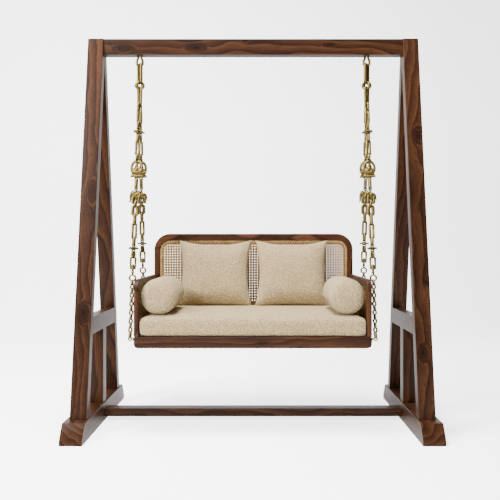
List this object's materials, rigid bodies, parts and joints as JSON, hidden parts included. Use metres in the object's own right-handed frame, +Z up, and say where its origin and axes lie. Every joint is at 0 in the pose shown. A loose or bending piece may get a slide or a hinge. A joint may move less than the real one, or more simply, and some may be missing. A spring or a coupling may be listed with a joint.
{
  "type": "jhoola swing",
  "caption": "Free-standing wooden swing seat with cane arms and back, boucle cushions and bolsters, hung on ornamental brass chains from a braced A-frame",
  "frame": {"origin": "on the floor under the middle of the bounding box, midway between the two end frames", "axes": "+X to the right seen from the front, +Y to the back, where the cane back is, +Z up"},
  "size_m": [1.866, 0.922, 2.109],
  "materials": {
    "sheesham": "dark rosewood stain under satin lacquer",
    "antique_brass": "antique brass with a dark patina in the hollows",
    "cane": "natural woven cane, light lacquer",
    "boucle": "cream boucle cloth"
  },
  "bodies": {
    "frame": {"left_foot": "sheesham", "left_front_leg": "sheesham", "left_back_leg": "sheesham", "left_mid_rail": "sheesham", "left_centre_post": "sheesham", "right_foot": "sheesham", "right_front_leg": "sheesham", "right_back_leg": "sheesham", "right_mid_rail": "sheesham", "right_centre_post": "sheesham", "top_beam": "sheesham", "floor_stretcher": "sheesham", "beam_staples": "antique_brass"},
    "hangers": {"hanger_links": "antique_brass"},
    "chain_front_left": {"front_left_links": "antique_brass", "front_left_discs": "antique_brass", "front_left_figure": "antique_brass", "front_left_elephant": "antique_brass", "front_left_swivel": "antique_brass"},
    "chain_back_left": {"back_left_links": "antique_brass", "back_left_discs": "antique_brass", "back_left_figure": "antique_brass", "back_left_elephant": "antique_brass", "back_left_swivel": "antique_brass"},
    "chain_front_right": {"front_right_links": "antique_brass", "front_right_discs": "antique_brass", "front_right_figure": "antique_brass", "front_right_elephant": "antique_brass", "front_right_swivel": "antique_brass"},
    "chain_back_right": {"back_right_links": "antique_brass", "back_right_discs": "antique_brass", "back_right_figure": "antique_brass", "back_right_elephant": "antique_brass", "back_right_swivel": "antique_brass"},
    "seat": {"seat_front_rail": "sheesham", "seat_back_rail": "sheesham", "seat_left_rail": "sheesham", "seat_right_rail": "sheesham", "seat_slats": "sheesham", "left_arm_post": "sheesham", "right_arm_post": "sheesham", "left_arm_rail": "sheesham", "right_arm_rail": "sheesham", "back_top_rail": "sheesham", "back_left_stile": "sheesham", "back_right_stile": "sheesham", "back_lower_rail": "sheesham", "back_cane_frame": "cane", "left_arm_cane": "cane", "right_arm_cane": "cane", "back_cane": "cane", "chain_eye_bolts": "antique_brass", "left_drop_links": "antique_brass", "right_drop_links": "antique_brass", "seat_cushion": "boucle", "left_back_cushion": "boucle", "right_back_cushion": "boucle", "left_bolster": "boucle", "right_bolster": "boucle"}
  },
  "joints": [
    {"name": "swing", "type": "hinge", "parent": "frame", "child": "hangers", "pos_m": [0, 0, 1.9685], "axis": [1, 0, 0], "range_deg": [-20, 20]},
    {"name": "sway_front_left", "type": "hinge", "parent": "hangers", "child": "chain_front_left", "pos_m": [-0.628, -0.006, 1.8685], "axis": [0, 1, 0], "range_deg": [-6, 6]},
    {"name": "sway_back_left", "type": "hinge", "parent": "hangers", "child": "chain_back_left", "pos_m": [-0.636, 0.006, 1.8685], "axis": [0, 1, 0], "range_deg": [-6, 6]},
    {"name": "sway_front_right", "type": "hinge", "parent": "hangers", "child": "chain_front_right", "pos_m": [0.628, -0.006, 1.8685], "axis": [0, 1, 0], "range_deg": [-6, 6]},
    {"name": "sway_back_right", "type": "hinge", "parent": "hangers", "child": "chain_back_right", "pos_m": [0.636, 0.006, 1.8685], "axis": [0, 1, 0], "range_deg": [-6, 6]},
    {"name": "seat_level", "type": "hinge", "parent": "chain_front_left", "child": "seat", "pos_m": [-0.628, -0.2189, 0.7885], "axis": [0, 1, 0], "range_deg": [-6, 6]}
  ],
  "couplings": [
    {"joint": "sway_back_left", "follows": "sway_front_left", "ratio": 1},
    {"joint": "sway_front_right", "follows": "sway_front_left", "ratio": 1},
    {"joint": "sway_back_right", "follows": "sway_front_left", "ratio": 1},
    {"joint": "seat_level", "follows": "sway_front_left", "ratio": -1}
  ]
}
